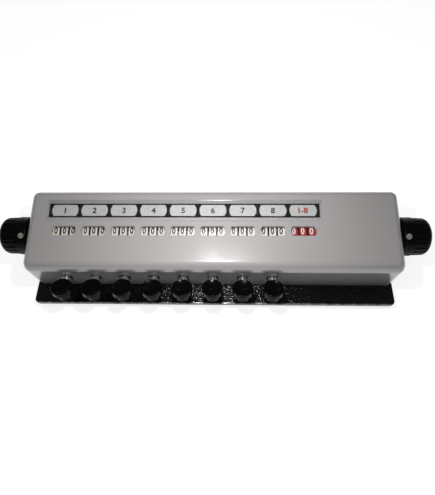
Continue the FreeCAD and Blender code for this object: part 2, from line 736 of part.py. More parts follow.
def make_key_comb():
    """Upright guide with a slot for each key's stem, on three screwed feet."""
    body = new_body("key_comb")
    front, thickness = size("comb_from_front"), size("comb_thickness")
    left, right = left_plate_x + size("comb_end_gap"), right_plate_x - size("comb_end_gap")
    upright = new_sketch(body, "XY_Plane", "upright")
    draw_rectangle(upright, left, right, front, front + thickness)
    slot_radius = stem_radius + size("comb_clearance")
    pad(body, upright, size("stem_height") + slot_radius + size("comb_above_slots"))
    tabs = new_sketch(body, "XY_Plane", "feet")
    half_tab = size("tab_width") / 2
    for x, _ in screw_places["key_comb"]:
        draw_rectangle(tabs, x - half_tab, x + half_tab, front + thickness / 2,
                       front + size("tab_depth"))
    pad(body, tabs, thickness)
    slot = new_sketch(body, "XZ_Plane", "slot")
    draw_upright_slot(slot, first_counter_x, size("stem_height") - drop_of_key(front + thickness / 2),
                      size("stem_height"), slot_radius)
    first_slot = pocket(body, slot)
    pattern_along_x(body, [first_slot], pitch * (key_count - 1), key_count)
    holes = new_sketch(body, "XY_Plane", "screw_holes")
    draw_screw_holes(holes, "key_comb", size("screw_diameter") + size("fixed_clearance") * 2)
    pocket(body, holes, middle=True)
    return place(body, y=front_y, z=deck_z)


def make_key_rod():
    body = new_body("key_rod")
    overhang = size("end_plate_thickness") + size("rod_overhang")
    section = new_sketch(body, "YZ_Plane", "section", left_plate_x - overhang)
    draw_circle(section, 0, 0, size("key_rod_diameter"))
    pad(body, section, right_plate_x - left_plate_x + overhang * 2)
    return place(body, y=front_y + rod_depth, z=deck_z + rod_height)


def make_key_springs():
    """Return springs beside the levers: one leg stands on the base, one lies under the lever."""
    body = new_body("key_springs", separate_solids=True)
    wire, gap = size("spring_wire"), size("spring_gap")
    start = first_counter_x + half_lever + gap
    inner = size("key_rod_diameter") + gap * 2
    coil = new_sketch(body, "YZ_Plane", "coil", start)
    draw_circle(coil, 0, 0, inner + wire * 2)
    draw_circle(coil, 0, 0, inner)
    coil_pad = pad(body, coil, size("spring_length"))
    wire_radius = inner / 2 + wire / 2
    standing = new_sketch(body, "XY_Plane", "standing_leg", -rod_height)
    draw_circle(standing, start + size("spring_length") - wire / 2, wire_radius, wire)
    standing_pad = pad(body, standing, rod_height)
    level = run_bottom - rod_height - wire_radius * sine(size("key_swing")) - gap - wire / 2
    hanging = new_sketch(body, "XY_Plane", "working_leg", level)
    draw_circle(hanging, start + wire / 2, -wire_radius, wire)
    hanging_pad = pad(body, hanging, -level)
    under = new_sketch(body, "YZ_Plane", "leg_under_lever", start - gap - half_lever * 2)
    draw_circle(under, -wire_radius, level, wire)
    under_pad = pad(body, under, half_lever * 2 + gap + wire)
    pattern_along_x(body, [coil_pad, standing_pad, hanging_pad, under_pad],
                    pitch * (key_count - 1), key_count)
    return place(body, y=front_y + rod_depth, z=deck_z + rod_height)


def make_shaft_bushes():
    """Two flanged bushes, one in each end plate, with the flanges facing the wheels."""
    body = new_body("shaft_bushes", separate_solids=True)
    sleeve_length = size("end_plate_thickness") + size("bush_overhang")
    for name, x, backwards in (("left", left_plate_x, False), ("right", right_plate_x, True)):
        flange = new_sketch(body, "YZ_Plane", name + "_flange", x)
        draw_circle(flange, 0, 0, size("bush_flange_diameter"))
        pad(body, flange, size("bush_flange"), backwards=backwards)
        sleeve = new_sketch(body, "YZ_Plane", name + "_sleeve", x)
        draw_circle(sleeve, 0, 0, size("bush_diameter"))
        pad(body, sleeve, sleeve_length, backwards=not backwards)
    bore = new_sketch(body, "YZ_Plane", "bore")
    draw_circle(bore, 0, 0, size("shaft_diameter") + size("running_clearance") * 2)
    pocket(body, bore, middle=True)
    return place(body, y=front_y + shaft_depth, z=deck_z + shaft_height)


def make_base_screws():
    """Identical screws from below: four for the cover, the rest for the frame inside."""
    body = new_body("base_screws", separate_solids=True)
    for name, diameter, length, backwards in (
            ("heads", size("screw_head_diameter"), size("screw_head_height"), True),
            ("shanks", size("screw_diameter"), size("screw_length"), False)):
        sketch = new_sketch(body, "XY_Plane", name)
        for owner in screw_places:
            draw_screw_holes(sketch, owner, diameter)
        pad(body, sketch, length, backwards=backwards)
    slots = new_sketch(body, "XY_Plane", "slots", -size("screw_head_height"))
    half = size("screw_recess") / 2
    reach = size("screw_head_diameter") * screw_slot_share / 2
    for places in screw_places.values():
        for x, depth in places:
            draw_rectangle(slots, x - reach, x + reach, depth - half, depth + half)
    pocket(body, slots, size("screw_recess"), backwards=True)
    return place(body, y=front_y, z=size("foot_height"))


# The number wheels

def make_number_wheel(label, x, has_ratchet):
    """Rim, disc and hub turned in one piece, with a ratchet beside the rim of a units wheel."""
    body = new_body(label)
    half_face = (size("wheel_pitch") - size("wheel_face_gap")) / 2
    half_web = size("wheel_web") / 2
    half_hub = (size("wheel_pitch") - size("wheel_end_gap")) / 2
    hub_end = half_hub
    if has_ratchet:
        hub_end = half_hub + pitch - half_stack * 2
    bore = shaft_radius + size("running_clearance")
    hub, inner = size("wheel_hub_diameter") / 2, wheel_radius - size("wheel_rim")
    section = new_sketch(body, "XY_Plane", "section")
    draw_polygon(section, [
        (-half_hub, bore), (hub_end, bore), (hub_end, hub), (half_web, hub), (half_web, inner),
        (half_face, inner), (half_face, wheel_radius), (-half_face, wheel_radius),
        (-half_face, inner), (-half_web, inner), (-half_web, hub), (-half_hub, hub)])
    revolve(body, section, "X_Axis")
    if has_ratchet:
        add_ratchet(body, bore)
    return place(body, x=x, y=front_y + shaft_depth, z=deck_z + shaft_height)


def add_ratchet(body, bore):
    """Ratchet disc halfway between this wheel's rim and the next counter, with its teeth."""
    start = ratchet_from_units - size("ratchet_width") / 2
    disc = new_sketch(body, "YZ_Plane", "ratchet", start)
    draw_circle(disc, 0, 0, ratchet_radius * 2)
    draw_circle(disc, 0, 0, bore * 2)
    pad(body, disc, size("ratchet_width"))
    notch = new_sketch(body, "YZ_Plane", "tooth_gap", start)
    tooth, gap = size("ratchet_tooth"), size("ratchet_gap")
    past = ratchet_radius + size("overrun")
    draw_polygon(notch, [(0, ratchet_radius - tooth), (gap, ratchet_radius - tooth / 2),
                         (gap, past), (0, past)])
    first_notch = pocket(body, notch, size("ratchet_width"), backwards=True)
    pattern_round_x(body, [first_notch], count("ratchet_count"))


def make_number_wheels():
    wheels = []
    for number, name in enumerate(counter_names):
        middle = first_counter_x + pitch * number
        for step, wheel_name in enumerate(wheel_names):
            x = middle - half_stack + size("wheel_pitch") / 2 + size("wheel_pitch") * step
            label = "%s_wheel_%s" % (wheel_name, name)
            wheels.append(make_number_wheel(label, x, has_ratchet=wheel_name == "units"))
    return wheels


# The reset shaft and its knobs

def make_reset_shaft():
    body = new_body("reset_shaft")
    reach = knob_face_x + size("knob_bore_depth") - size("wheel_end_gap")
    section = new_sketch(body, "YZ_Plane", "section")
    draw_circle(section, 0, 0, size("shaft_diameter"))
    pad(body, section, reach * 2, middle=True)
    groove = new_sketch(body, "XY_Plane", "keyway", shaft_radius - size("keyway_depth"))
    half = size("keyway_width") / 2
    draw_rectangle(groove, stack_left_x, stack_right_x, -half, half)
    pocket(body, groove, size("keyway_depth"), backwards=True)
    return place(body, y=front_y + shaft_depth, z=deck_z + shaft_height,
                 turn=size("set_screw_angle"))


def make_reset_knob(label, side):
    """Fluted knob with a plain ring beside the cover and a blind hole for the shaft."""
    body = new_body(label)
    skirt, length = size("skirt_length"), size("knob_length")
    bore = shaft_radius + size("fixed_clearance")
    bore_depth = size("knob_bore_depth")
    section = new_sketch(body, "XY_Plane", "section")
    outline = [(0, bore), (0, size("skirt_diameter") / 2), (skirt, size("skirt_diameter") / 2),
               (skirt, size("knob_diameter") / 2), (length, size("knob_end_diameter") / 2),
               (length, 0), (bore_depth, 0), (bore_depth, bore)]
    draw_polygon(section, [(x * side if isinstance(x, Measure) else x, r) for x, r in outline])
    revolve(body, section, "X_Axis")
    end = edges_where(body, lambda middle, box: near(box.XLength, 0) and near(
        abs(middle.x), length) and box.YLength > size("knob_diameter").value / 2)
    fillet(body, "end", end, size("knob_end_radius"))
    inner = edges_where(body, lambda middle, box: near(box.XLength, 0) and near(
        middle.x, 0) and box.YLength > size("knob_diameter").value / 2)
    fillet(body, "ring_edge", inner, size("skirt_edge"))
    flute = new_sketch(body, "YZ_Plane", "flute", skirt * side)
    radius = size("flute_radius")
    draw_circle(flute, 0, size("knob_diameter") / 2 + radius - size("flute_depth"), radius * 2)
    first_flute = pocket(body, flute, length, backwards=side > 0)
    pattern_round_x(body, [first_flute], count("flute_count"))
    screw_hole = new_sketch(body, "XY_Plane", "screw_hole")
    hole = size("set_screw_diameter") + size("fixed_clearance") * 2
    draw_circle(screw_hole, size("set_screw_from_face") * side, 0, hole)
    pocket(body, screw_hole, size("skirt_diameter"), backwards=True)
    return place(body, x=knob_face_x * side, y=front_y + shaft_depth, z=deck_z + shaft_height,
                 turn=size("set_screw_angle"))


def make_knob_set_screws():
    body = new_body("knob_set_screws", separate_solids=True)
    low = shaft_radius + size("fixed_clearance")
    high = size("skirt_diameter") / 2 - size("fixed_clearance")
    rounds = new_sketch(body, "XY_Plane", "rounds", low)
    slots = new_sketch(body, "XY_Plane", "slots", high)
    half = size("set_screw_slot") / 2
    reach = size("set_screw_diameter")
    for side in (-1, 1):
        x = (knob_face_x + size("set_screw_from_face")) * side
        draw_circle(rounds, x, 0, size("set_screw_diameter"))
        draw_rectangle(slots, x - half, x + half, -reach, reach)
    pad(body, rounds, high - low)
    pocket(body, slots, size("set_screw_slot"))
    return place(body, y=front_y + shaft_depth, z=deck_z + shaft_height,
                 turn=size("set_screw_angle"))


# The keys and the bar that works the total counter

def add_eye(body, x, thickness):
    """Round eye on the key rod, with its hole."""
    eye = new_sketch(body, "YZ_Plane", "eye", x)
    draw_circle(eye, rod_depth, rod_height, size("eye_diameter"))
    pad(body, eye, thickness)


def add_rod_hole(body):
    hole = new_sketch(body, "YZ_Plane", "rod_hole")
    diameter = size("key_rod_diameter") + size("running_clearance") * 2
    draw_circle(hole, rod_depth, rod_height, diameter)
    pocket(body, hole, middle=True)


def add_pawl(body, x, root_depth, root_height, root_half):
    """Finger that rises from its root to just in front of the ratchet."""
    finger = new_sketch(body, "YZ_Plane", "pawl", x - size("pawl_thickness") / 2)
    draw_polygon(finger, [(root_depth - root_half, root_height - root_half),
                          (root_depth + root_half, root_height - root_half), pawl_tip,
                          (root_depth - root_half, root_height + root_half)])
    pad(body, finger, size("pawl_thickness"))


def make_key_lever(number):
    """Round stem in front, flat lever under the wheels, eye at the back, pin to the ratchet."""
    body = new_body("key_lever_%d" % (number + 1))
    stem_low, stem_high = size("stem_height") - stem_radius, size("stem_height") + stem_radius
    plate = new_sketch(body, "YZ_Plane", "plate")
    draw_polygon(plate, [(head_depth, stem_low), (leg_depth, stem_low), (leg_depth, run_bottom),
                         (rod_depth, run_bottom), (rod_depth, run_top), (leg_back, run_top),
                         (leg_back, stem_high), (head_depth, stem_high)])
    pad(body, plate, size("lever_thickness"), middle=True)
    add_eye(body, -half_lever, size("lever_thickness"))
    stem = new_sketch(body, "XZ_Plane", "stem", -stem_front)
    draw_circle(stem, 0, size("stem_height"), size("stem_diameter"))
    pad(body, stem, leg_depth - stem_front, backwards=True)
    pin_depth, pin_height = (leg_depth + leg_back) / 2, pawl_tip[1] - size("pawl_rise")
    pin = new_sketch(body, "YZ_Plane", "pin")
    draw_circle(pin, pin_depth, pin_height, size("pawl_pin_diameter"))
    ratchet = size("wheel_pitch") + ratchet_from_units
    pad(body, pin, ratchet + size("pawl_thickness") / 2)
    add_pawl(body, ratchet, pin_depth, pin_height, size("pawl_pin_diameter") / 2)
    add_rod_hole(body)
    return place(body, x=first_counter_x + pitch * number, y=front_y, z=deck_z)


def make_key_knob(number):
    """Round knob with a hollow for the fingertip, and under it a neck that holds the stem."""
    body = new_body("key_knob_%d" % (number + 1))
    bore = stem_radius + size("fixed_clearance")
    neck_low = size("stem_height") - bore - size("socket_under_stem")
    neck_end = (button_height - neck_low) / cosine(size("button_lean"))
    section = new_sketch(body, "YZ_Plane", "section")
    lean_sketch(section, button_depth, button_height, size("button_lean"))
    draw_dished_disc(section, button_radius, button_radius - size("button_rim"),
                     size("button_dish"), size("button_thickness"), size("socket_diameter") / 2,
                     neck_end)
    revolve(body, section)
    edges = edges_where(body, lambda middle, box: near(box.XLength, button_radius * 2))
    fillet(body, "edges", edges, size("button_edge_radius"))
    bore_end = stem_front - size("fixed_clearance")
    hole = new_sketch(body, "XZ_Plane", "stem_hole", -bore_end)
    draw_circle(hole, 0, size("stem_height"), bore * 2)
    pocket(body, hole, -bore_end)
    return place(body, x=first_counter_x + pitch * number, y=front_y, z=deck_z)


def make_total_bar():
    """Swinging bar in front of the levers, with two arms to the key rod and its own pawl."""
    body = new_body("total_bar")
    gap, thickness = size("bar_arm_gap"), size("lever_thickness")
    left, right = left_plate_x + gap, right_plate_x - gap - thickness
    bar = new_sketch(body, "YZ_Plane", "bar", left)
    bar_radius = size("bar_diameter") / 2
    draw_circle(bar, bar_depth, bar_height, bar_radius * 2)
    pad(body, bar, right + thickness - left)
    for name, x in (("left", left), ("right", right)):
        arm = new_sketch(body, "YZ_Plane", name + "_arm", x)
        draw_polygon(arm, [(bar_depth, bar_height - bar_radius / 2), (rod_depth, run_bottom),
                           (rod_depth, run_top), (bar_depth, bar_height + bar_radius / 2)])
        pad(body, arm, thickness)
        add_eye(body, x, thickness)
    add_pawl(body, last_counter_x + size("wheel_pitch") + ratchet_from_units, bar_depth,
             bar_height, bar_radius)
    add_rod_hole(body)
    return place(body, y=front_y, z=deck_z)


def make_parts():
    parts = [make_base_plate(), make_rubber_feet(), make_cover(), make_label_strip(),
             make_label_guard(), make_end_plate("left_end_plate", left_plate_x, -1),
             make_end_plate("right_end_plate", right_plate_x, 1), make_key_comb(),
             make_key_rod(), make_key_springs(), make_shaft_bushes(), make_base_screws(),
             make_total_bar(), make_reset_shaft(), make_reset_knob("left_reset_knob", -1),
             make_reset_knob("right_reset_knob", 1), make_knob_set_screws()]
    for number in range(key_count):
        parts.append(make_key_lever(number))
        parts.append(make_key_knob(number))
    return parts + make_number_wheels()


def check_document(parts):
    """Stop if any feature failed or any sub-part has no sound shape."""
    for thing in document.Objects:
        if "Invalid" in thing.State or "Error" in thing.State:
            raise RuntimeError("%s is %s" % (thing.Label, ", ".join(thing.State)))
    for part in parts:
        if part.Shape.isNull() or not part.Shape.isValid():
            raise RuntimeError("%s has no sound shape" % part.Label)


def write_parts(parts):
    os.makedirs("parts", exist_ok=True)
    for part in parts:
        part.Shape.exportStep(os.path.join("parts", part.Label + ".step"))
        box = part.Shape.BoundBox
        print("%-20s %2d solids  %8.0f mm3  x %7.1f %7.1f  y %6.1f %6.1f  z %5.1f %5.1f" % (
            part.Label, len(part.Shape.Solids), part.Shape.Volume,
            box.XMin, box.XMax, box.YMin, box.YMax, box.ZMin, box.ZMax))


all_parts = make_parts()
document.recompute()
check_document(all_parts)
write_parts(all_parts)
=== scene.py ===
# %% [markdown]
# A desk counter, dressed over its CAD frame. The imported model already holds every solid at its
# real size, so this script gives those solids their finishes and adds what a solid model leaves
# out: the printed numbers, the figures on the counting wheels and the studio round them.
# Everything is in metres, with +X to the user's right, +Y to the back and +Z up.

# %% Load the frame
import json
import math

import bpy
import numpy as np
from mathutils import Matrix, Vector


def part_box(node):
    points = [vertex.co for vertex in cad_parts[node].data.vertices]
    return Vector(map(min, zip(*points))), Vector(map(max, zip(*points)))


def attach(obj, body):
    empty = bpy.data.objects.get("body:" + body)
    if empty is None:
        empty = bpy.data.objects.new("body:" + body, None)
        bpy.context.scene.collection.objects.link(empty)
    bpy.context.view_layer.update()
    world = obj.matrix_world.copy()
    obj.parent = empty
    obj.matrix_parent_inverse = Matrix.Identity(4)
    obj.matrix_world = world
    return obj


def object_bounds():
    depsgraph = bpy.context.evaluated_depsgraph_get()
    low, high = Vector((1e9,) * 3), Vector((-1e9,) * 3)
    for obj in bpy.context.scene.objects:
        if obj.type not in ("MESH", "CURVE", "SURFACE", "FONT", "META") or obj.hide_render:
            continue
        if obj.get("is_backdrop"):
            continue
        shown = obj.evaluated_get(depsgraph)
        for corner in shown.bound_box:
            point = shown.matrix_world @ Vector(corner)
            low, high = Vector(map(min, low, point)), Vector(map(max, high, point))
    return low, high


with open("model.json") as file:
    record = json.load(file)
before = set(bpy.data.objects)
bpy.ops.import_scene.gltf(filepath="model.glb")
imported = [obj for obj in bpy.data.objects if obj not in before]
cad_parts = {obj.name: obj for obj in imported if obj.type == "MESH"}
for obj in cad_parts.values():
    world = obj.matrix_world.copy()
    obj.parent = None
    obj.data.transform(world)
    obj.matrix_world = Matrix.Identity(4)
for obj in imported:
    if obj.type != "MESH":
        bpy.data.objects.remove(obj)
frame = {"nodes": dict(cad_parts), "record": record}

for name in ("Cube", "Light", "Camera"):
    if name in bpy.data.objects:
        bpy.data.objects.remove(bpy.data.objects[name])
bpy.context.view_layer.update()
nodes = frame["nodes"]
slot_of = {part["node"]: part["material_slot"] for part in frame["record"]["subparts"]}
mm = 0.001

# %% [markdown]
# The camera comes first, because every later choice is judged through it. It could be placed by
# eye, but then each difference might be the camera's fault. Here the edges of a box of known shape
# were fitted to the photograph's pixels. That gave the place, the angle below the horizon, a slight
# turn to the left and a slight roll. The focal length is kept as pixels and becomes millimetres on
# a 36 mm sensor, whose width Blender lays along the long side of the picture.

# %% Camera
photo_size = (435, 495)
focal_pixels = 397.7
camera_place = Vector((14.4, -140.05, 326.8)) * mm
camera_down, camera_turn, camera_roll = (math.radians(angle) for angle in (64.43, -4.17, -3.57))
sensor_width = 36.0
seen_from, seen_to = 0.01, 20.0


def camera_frame(down, turn, roll):
    """Right, up and backward directions of a camera, as the columns of a matrix.

    Ahead points turn away from +Y, down by its angle. Level is the flat direction across it. The
    roll mixes level and upright, by its cosine and its sine, into right and up.
    """
    flat = math.cos(down)
    ahead = Vector((math.sin(turn) * flat, math.cos(turn) * flat, -math.sin(down)))
    level = Vector((math.cos(turn), -math.sin(turn), 0.0))
    upright = level.cross(ahead)
    right = level * math.cos(roll) + upright * math.sin(roll)
    up = upright * math.cos(roll) - level * math.sin(roll)
    return Matrix((right, up, -ahead)).transposed()


camera_data = bpy.data.cameras.new("camera")
camera_data.sensor_width = sensor_width
camera_data.lens = sensor_width * focal_pixels / max(photo_size)
camera_data.clip_start, camera_data.clip_end = seen_from, seen_to
camera = bpy.data.objects.new("camera", camera_data)
bpy.context.scene.collection.objects.link(camera)
camera.matrix_world = (Matrix.Translation(camera_place)
                       @ camera_frame(camera_down, camera_turn, camera_roll).to_4x4())
bpy.context.scene.camera = camera
bpy.context.scene.view_settings.view_transform = "Standard"
print("lens in mm:", round(camera_data.lens, 2))

# %% [markdown]
# The photograph's light can be read from two places: the top is brightest over the middle keys,
# and a thin glint runs along the edge in front of it. Only a small lamp overhead makes both, so the
# near lamp is as small as a postage stamp and hangs over that edge. A very wide lamp far above
# gives the soft rest. The numbers are each lamp's place, its two sides and its power in watts.

# %% Lamps
lamps = [
    ("near_lamp", (0.000, -0.018, 0.225), (0.026, 0.014), 0.32),
    ("wide_lamp", (0.000, 0.100, 1.300), (3.000, 3.000), 4.40),
]
for name, place, sides, power in lamps:
    lamp_data = bpy.data.lights.new(name, "AREA")
    lamp_data.shape = "RECTANGLE"
    lamp_data.size, lamp_data.size_y = sides
    lamp_data.energy = power
    lamp = bpy.data.objects.new(name, lamp_data)
    lamp.location = place
    lamp.visible_camera = False
    bpy.context.scene.collection.objects.link(lamp)
print("lamps:", [name for name, *rest in lamps])

# %% [markdown]
# The cut-out photograph shows no room, yet the object needs one to reflect. Hiding the room from
# the camera would take it out of the clear bar and the chrome as well. So a value from the Light
# Path node tells two kinds of rays apart: those that make the picture, straight or off metal or
# through glass, and those that only bring light. Three helpers keep the many small nodes short.


# %% Nodes, and what rays can see
def add_node(tree, kind, **settings):
    """A new node with the given settings."""
    node = tree.nodes.new(kind)
    for name, value in settings.items():
        setattr(node, name, value)
    return node


def calculated(tree, operation, *sources):
    """Result of a Math node whose inputs are sockets or plain numbers, in their order."""
    node = add_node(tree, "ShaderNodeMath", operation=operation)
    for socket, source in zip(node.inputs, sources):
        if isinstance(source, float):
            socket.default_value = source
        else:
            tree.links.new(source, socket)
    return node.outputs[0]


def seen_directly(tree):
    """1 for rays from the camera, off metal or through glass, and 0 for light on the object.

    It is the largest of the three 0 or 1 values that the Light Path node has for them.
    """
    path = add_node(tree, "ShaderNodeLightPath").outputs
    direct = calculated(tree, "MAXIMUM", path["Is Camera Ray"], path["Is Glossy Ray"])
    return calculated(tree, "MAXIMUM", direct, path["Is Transmission Ray"])


# %% [markdown]
# The surroundings stand for the room. An evenly white one would turn black plastic grey, and a
# black one would cut dark holes into the chrome. So light on the object comes from a dim grey, and
# polished parts find white only near the horizon, with a soft fade to dark overhead. The camera
# itself finds plain white everywhere, as in the photograph.

# %% Surroundings
dim_grey = (0.10, 0.10, 0.105, 1.0)
fade_settings = {"From Min": 0.05, "From Max": 0.30, "To Min": 1.0, "To Max": 0.05}
world = bpy.data.worlds.new("surroundings")
bpy.context.scene.world = world
world.use_nodes = True
sky = world.node_tree
dim = sky.nodes["Background"]
dim.inputs["Color"].default_value = dim_grey
backdrop = add_node(sky, "ShaderNodeBackground")
height = add_node(sky, "ShaderNodeSeparateXYZ")
sky.links.new(add_node(sky, "ShaderNodeTexCoord").outputs["Generated"], height.inputs[0])
fade = add_node(sky, "ShaderNodeMapRange", interpolation_type="SMOOTHSTEP")
for socket, value in fade_settings.items():
    fade.inputs[socket].default_value = value
sky.links.new(height.outputs["Z"], fade.inputs["Value"])
camera_ray = add_node(sky, "ShaderNodeLightPath").outputs["Is Camera Ray"]
white_to_camera = calculated(sky, "MAXIMUM", fade.outputs[0], camera_ray)
sky.links.new(white_to_camera, backdrop.inputs["Color"])
choose = add_node(sky, "ShaderNodeMixShader")
sky.links.new(seen_directly(sky), choose.inputs["Fac"])
sky.links.new(dim.outputs[0], choose.inputs[1])
sky.links.new(backdrop.outputs[0], choose.inputs[2])
sky.links.new(choose.outputs[0], sky.nodes["World Output"].inputs["Surface"])
print("surroundings fade from height", fade_settings["From Min"], "to", fade_settings["From Max"])

# %% [markdown]
# The floor is the bench under the feet. A shadow catcher would hide it, but would also take it out
# of the reflections. A large pale plane that glows for the rays of the picture does both: it is
# nearly white there and still keeps a soft shadow. It belongs to the studio, not to the object.

# %% Floor
floor_size = 6.0
floor_colour = (0.82, 0.82, 0.82, 1.0)
floor_roughness = 0.9
floor_glow = 0.80
corners = floor_size / 2 * np.array([(-1, -1, 0), (1, -1, 0), (1, 1, 0), (-1, 1, 0)], float)
floor_mesh = bpy.data.meshes.new("floor")
floor_mesh.from_pydata(corners.tolist(), [], [(0, 1, 2, 3)])
floor = bpy.data.objects.new("floor", floor_mesh)
bpy.context.scene.collection.objects.link(floor)
floor_paint = bpy.data.materials.new("floor")
floor_paint.use_nodes = True
tree = floor_paint.node_tree
floor_shader = tree.nodes["Principled BSDF"].inputs
floor_shader["Base Color"].default_value = floor_colour
floor_shader["Roughness"].default_value = floor_roughness
floor_shader["Emission Color"].default_value = (1.0, 1.0, 1.0, 1.0)
glow = calculated(tree, "MULTIPLY", seen_directly(tree), floor_glow)
tree.links.new(glow, floor_shader["Emission Strength"])
floor_mesh.materials.append(floor_paint)
floor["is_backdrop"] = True
print("floor:", floor_size, "m")

# %% [markdown]
# Several finishes share the same small faults: a fine grain, patches where the gloss is dulled by
# handling, and specks of dust. Each of these is a node group, built once and placed in each
# material with its own values. The groups read Object coordinates, so a pattern stays on its piece
# when the piece turns, and they put out only values. The shaders stay in the materials.


# %% Node groups
def new_group(name, inputs, outputs):
    """An empty shader node group with named sockets, and its input and output nodes."""
    group = bpy.data.node_groups.new(name, "ShaderNodeTree")
    for title, kind in inputs:
        group.interface.new_socket(title, in_out="INPUT", socket_type="NodeSocket" + kind)
    for title, kind in outputs:
        group.interface.new_socket(title, in_out="OUTPUT", socket_type="NodeSocket" + kind)
    return group, group.nodes.new("NodeGroupInput"), group.nodes.new("NodeGroupOutput")


def build_grain(finer=3.1, share=0.4):
    """Height of a fine grain: coarse noise, plus a share of noise that is finer by a factor."""
    group, entry, result = new_group("grain", [("Vector", "Vector"), ("Scale", "Float")],
                                     [("Height", "Float")])
    coarse = add_node(group, "ShaderNodeTexNoise")
    fine = add_node(group, "ShaderNodeTexNoise")
    group.links.new(entry.outputs["Scale"], coarse.inputs["Scale"])
    fine_scale = calculated(group, "MULTIPLY", entry.outputs["Scale"], finer)
    group.links.new(fine_scale, fine.inputs["Scale"])
    for noise in (coarse, fine):
        group.links.new(entry.outputs["Vector"], noise.inputs["Vector"])
    both = calculated(group, "MULTIPLY_ADD", fine.outputs["Fac"], share, coarse.outputs["Fac"])
    group.links.new(both, result.inputs["Height"])
    return group


def build_patches(detail=4.0, from_low=0.35, from_high=0.65):
    """A value that drifts between Low and High in soft patches.

    It is noise, whose middle part between the two given levels is spread over the whole range.
    """
    group, entry, result = new_group(
        "patches", [("Vector", "Vector"), ("Scale", "Float"), ("Low", "Float"), ("High", "Float")],
        [("Value", "Float")])
    noise = add_node(group, "ShaderNodeTexNoise")
    noise.inputs["Detail"].default_value = detail
    spread = add_node(group, "ShaderNodeMapRange")
    spread.inputs["From Min"].default_value = from_low
    spread.inputs["From Max"].default_value = from_high
    group.links.new(entry.outputs["Vector"], noise.inputs["Vector"])
    group.links.new(entry.outputs["Scale"], noise.inputs["Scale"])
    group.links.new(noise.outputs["Fac"], spread.inputs["Value"])
    group.links.new(entry.outputs["Low"], spread.inputs["To Min"])
    group.links.new(entry.outputs["High"], spread.inputs["To Max"])
    group.links.new(spread.outputs[0], result.inputs["Value"])
    return group


def build_specks():
    """Mask of small dots: 1 nearer than Radius to a cell's centre, where the cell's random value
    is below Kept, and 0 elsewhere."""
    group, entry, result = new_group(
        "specks", [("Vector", "Vector"), ("Scale", "Float"), ("Radius", "Float"),
                   ("Kept", "Float")],
        [("Mask", "Float")])
    cells = add_node(group, "ShaderNodeTexVoronoi")
    chance = add_node(group, "ShaderNodeSeparateColor")
    group.links.new(entry.outputs["Vector"], cells.inputs["Vector"])
    group.links.new(entry.outputs["Scale"], cells.inputs["Scale"])
    group.links.new(cells.outputs["Color"], chance.inputs[0])
    core = calculated(group, "LESS_THAN", cells.outputs["Distance"], entry.outputs["Radius"])
    kept = calculated(group, "LESS_THAN", chance.outputs[0], entry.outputs["Kept"])
    both = calculated(group, "MULTIPLY", core, kept)
    group.links.new(both, result.inputs["Mask"])
    return group


def build_sides(steep=0.6):
    """Mask that is 1 where a normal, read as Vector, points along X by more than a share."""
    group, entry, result = new_group("sides", [("Vector", "Vector")], [("Mask", "Float")])
    split = add_node(group, "ShaderNodeSeparateXYZ")
    group.links.new(entry.outputs["Vector"], split.inputs[0])
    size = calculated(group, "ABSOLUTE", split.outputs["X"])
    mask = calculated(group, "GREATER_THAN", size, steep)
    group.links.new(mask, result.inputs["Mask"])
    return group


groups = {"grain": build_grain(), "patches": build_patches(), "specks": build_specks(),
          "sides": build_sides()}
print("node groups:", sorted(groups))

# %% [markdown]
# Every finish is one material with the same skeleton: a Principled shader, Object coordinates, and
# groups linked to a few of the shader's inputs. It could be wired by hand each time. A small class
# holds the skeleton instead, so that each finish below is only a few lines of its own values.


# %% Finish helpers
class Finish:
    """A material with one Principled shader, whose textures read Object coordinates."""

    def __init__(self, name, colour, roughness, **sockets):
        self.material = bpy.data.materials.new(name)
        self.material.use_nodes = True
        self.tree = self.material.node_tree
        self.shader = self.tree.nodes["Principled BSDF"]
        self.place = add_node(self.tree, "ShaderNodeTexCoord").outputs["Object"]
        self.shader.inputs["Base Color"].default_value = (*colour, 1.0)
        self.shader.inputs["Roughness"].default_value = roughness
        for title, value in sockets.items():
            self.shader.inputs[title.replace("_", " ")].default_value = value

    def link(self, source, socket):
        """A value drives one input of the shader."""
        self.tree.links.new(source, self.shader.inputs[socket])

    def group(self, name, vector=None, **values):
        """A shared group placed in this material with its own values."""
        node = add_node(self.tree, "ShaderNodeGroup", node_tree=groups[name])
        self.tree.links.new(vector or self.place, node.inputs["Vector"])
        for title, value in values.items():
            node.inputs[title].default_value = value
        return node.outputs[0]

    def vary_gloss(self, scale, low, high):
        """Roughness that drifts between low and high in patches."""
        self.link(self.group("patches", Scale=scale, Low=low, High=high), "Roughness")

    def blend_colour(self, mask, base, other):
        """Base colour that goes from base to other where the mask is 1."""
        mix = add_node(self.tree, "ShaderNodeMix", data_type="RGBA")
        mix.inputs["A"].default_value = (*base, 1.0)
        mix.inputs["B"].default_value = (*other, 1.0)
        self.tree.links.new(mask, mix.inputs["Factor"])
        self.link(mix.outputs["Result"], "Base Color")

    def bump(self, height, depth):
        """Relief of the given depth in metres."""
        relief = add_node(self.tree, "ShaderNodeBump")
        relief.inputs["Distance"].default_value = depth
        self.tree.links.new(height, relief.inputs["Height"])
        self.link(relief.outputs["Normal"], "Normal")

    def add_grain(self, scale, depth, vector=None):
        """Relief of fine grain, of the given scale and depth."""
        self.bump(self.group("grain", vector=vector, Scale=scale), depth)

    def stretched(self, along, across):
        """Object coordinates multiplied by one factor along X and by another across it."""
        mapping = add_node(self.tree, "ShaderNodeMapping")
        mapping.inputs["Scale"].default_value = (along, across, across)
        self.tree.links.new(self.place, mapping.inputs["Vector"])
        return mapping.outputs[0]


# %% [markdown]
# The cover is sheet metal in a light, slightly warm grey enamel. One glossy layer would do for
# plastic, but baked enamel is a dull coloured layer under a clear gloss, so the finish is a rough
# base under a coat. Sprayed paint is never quite even, so its colour and its dullness drift in
# patches, and a fine grain roughens the base.

